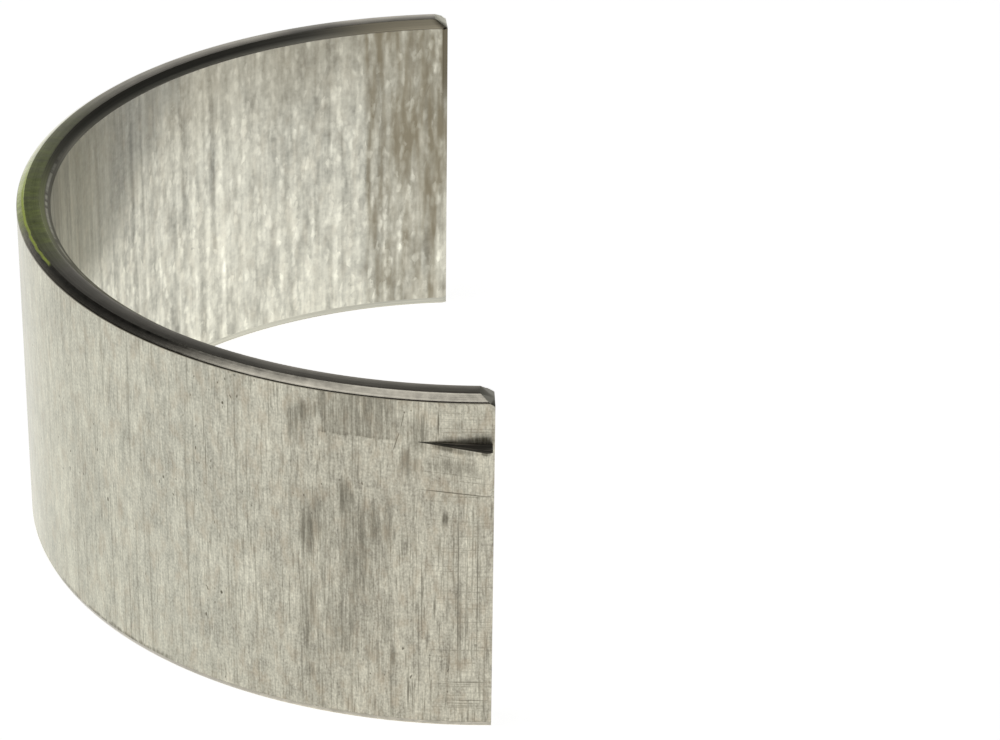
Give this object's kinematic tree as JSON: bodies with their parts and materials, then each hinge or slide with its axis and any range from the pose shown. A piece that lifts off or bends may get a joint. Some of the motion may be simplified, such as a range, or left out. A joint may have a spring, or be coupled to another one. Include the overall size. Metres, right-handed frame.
{
  "type": "engine bearing shell",
  "caption": "Half-round plain bearing shell for an engine rod journal: thin lined steel strip with chamfered edges, bore relief at the joint faces and a pressed locating lug.",
  "frame": {"origin": "axis of the free bore, half way along the shell's width", "axes": "+Z along the bore towards the edge nearest the lug, crown towards -X, joint face with the lug towards -Y"},
  "size_m": [0.028, 0.0586, 0.0216],
  "materials": {
    "lined_steel": "fine brushed grain, satin"
  },
  "bodies": {
    "root": {"bearing_shell": "lined_steel"}
  },
  "joints": []
}
